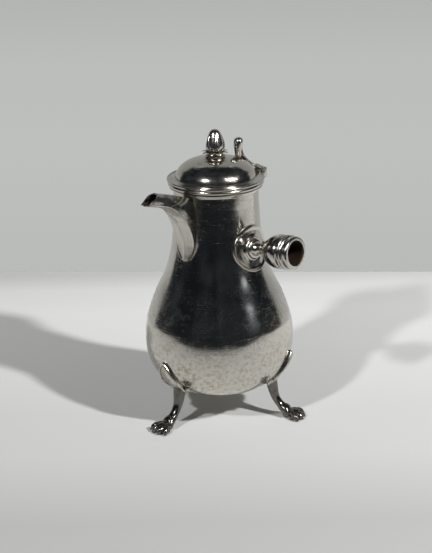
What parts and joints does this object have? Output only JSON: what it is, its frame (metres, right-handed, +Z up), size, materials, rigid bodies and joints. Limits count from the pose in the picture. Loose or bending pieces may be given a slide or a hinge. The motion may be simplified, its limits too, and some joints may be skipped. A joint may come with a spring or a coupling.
{
  "type": "chocolate pot",
  "caption": "Pear-shaped silver chocolate pot on cast paw feet, with a hinged domed lid, a swivelling bud finial, a covered beak spout and a side handle socket.",
  "frame": {"origin": "on the pot's own axis, in the plane that the soles of the feet stand on", "axes": "+Z up along the pot's axis, -Y towards the tip of the beak, +X along the handle socket seen from above"},
  "size_m": [0.1398, 0.1412, 0.2356],
  "materials": {
    "raised_silver": "old hand-polished silver, fine scratches and shallow pits",
    "turned_silver": "turned and drawn silver mouldings, darker in their grooves",
    "cast_silver": "cast and chased silver, tarnish left in the hollows",
    "hinge_silver": "worn silver fittings"
  },
  "bodies": {
    "pot": {"vessel_body": "raised_silver", "mouth_rim": "turned_silver", "beak_spout": "cast_silver", "handle_boss": "turned_silver", "handle_socket": "turned_silver", "socket_mouth_ring": "turned_silver", "leg_1": "cast_silver", "leg_2": "cast_silver", "leg_3": "cast_silver", "leg_plate_1": "cast_silver", "leg_plate_2": "cast_silver", "leg_plate_3": "cast_silver", "hinge_pot_knuckles": "hinge_silver", "hinge_pin": "hinge_silver"},
    "lid": {"lid_dome": "raised_silver", "lid_edge_moulding": "turned_silver", "lid_bezel": "raised_silver", "rod_hole_collar": "hinge_silver", "finial_pivot": "hinge_silver", "finial_pivot_washer": "hinge_silver", "hinge_strap": "cast_silver", "thumbpiece": "cast_silver"},
    "finial": {"finial_cover": "hinge_silver", "finial_foot": "cast_silver", "finial_collar": "cast_silver", "finial_bud": "cast_silver", "finial_stud": "hinge_silver"}
  },
  "joints": [
    {"name": "lid_hinge", "type": "hinge", "parent": "pot", "child": "lid", "pos_m": [0.01451, 0.03781, 0.1988], "axis": [-0.9336, 0.3584, 0], "range_deg": [0, 100]},
    {"name": "finial_swivel", "type": "hinge", "parent": "lid", "child": "finial", "pos_m": [-0.00818, 0.00878, 0.2144], "axis": [0, 0, -1], "range_deg": [0, 100]}
  ]
}
